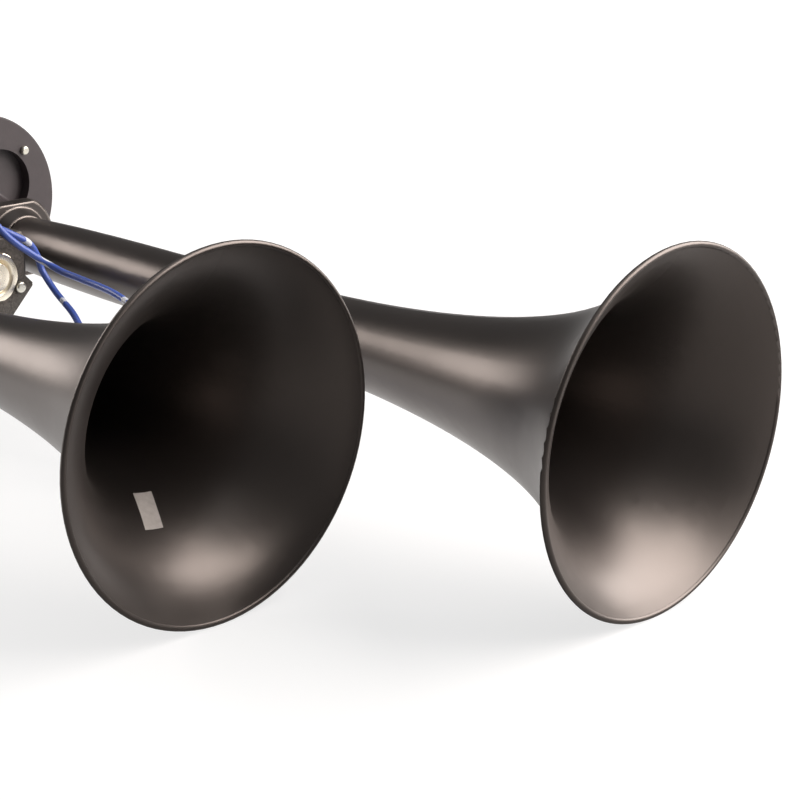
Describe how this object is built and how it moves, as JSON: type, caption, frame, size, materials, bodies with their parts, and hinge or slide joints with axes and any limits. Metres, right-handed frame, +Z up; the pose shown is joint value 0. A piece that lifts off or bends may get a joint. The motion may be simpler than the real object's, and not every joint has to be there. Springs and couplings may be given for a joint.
{
  "type": "car air horn",
  "caption": "Twin-trumpet vehicle air horn: long and short flared bells on a cast diaphragm body with a solenoid valve and a slotted foot bracket.",
  "frame": {"origin": "middle of the two slots, on the underside of the bracket's foot", "axes": "+X forward out of the bells, +Y from the short trumpet to the long one, +Z up"},
  "size_m": [0.4831, 0.2784, 0.15],
  "materials": {
    "trumpet": "satin black moulded",
    "nut_black": "satin black",
    "casting": "black stoved paint over a die casting",
    "gasket": "black sheet rubber",
    "spring_steel": "rolled sheet",
    "cover": "satin black paint",
    "zinc": "bright zinc plate",
    "valve": "black anodised",
    "o_ring": "black",
    "brass": "turned",
    "core_steel": "ground",
    "seal": "black",
    "coil": "moulded black",
    "yoke": "dark phosphate",
    "nickel": "bright nickel plate",
    "lead_blue": "blue PVC",
    "sleeve": "black",
    "tinned": "tinned copper strands",
    "bracket": "black powder coat"
  },
  "bodies": {
    "horn": {"long_trumpet": "trumpet", "short_trumpet": "trumpet", "lock_nuts": "nut_black", "horn_body": "casting", "long_gasket": "gasket", "short_gasket": "gasket", "long_diaphragm": "spring_steel", "short_diaphragm": "spring_steel", "long_rear_cover": "cover", "short_rear_cover": "cover", "cover_screws": "zinc", "cover_nuts": "zinc", "valve_body": "valve", "valve_o_ring": "o_ring", "valve_screws": "zinc", "guide_tube": "brass", "fixed_core": "core_steel", "plunger_spring": "spring_steel", "coil": "coil", "coil_yoke": "yoke", "coil_nut": "nickel", "yoke_screws": "zinc", "front_lead": "lead_blue", "rear_lead": "lead_blue", "lead_sleeves": "sleeve", "lead_tips": "tinned", "bracket": "bracket", "bracket_washers": "zinc", "bracket_bolts": "zinc"},
    "plunger_group": {"plunger": "core_steel", "plunger_seal": "seal"}
  },
  "joints": [
    {"name": "plunger_slide", "type": "slide", "parent": "horn", "child": "plunger_group", "axis": [1, 0, 0], "range_m": [0, 0.002], "stiffness_N_per_m": 400, "springref_m": -0.004, "deforming": ["plunger_spring"]}
  ]
}
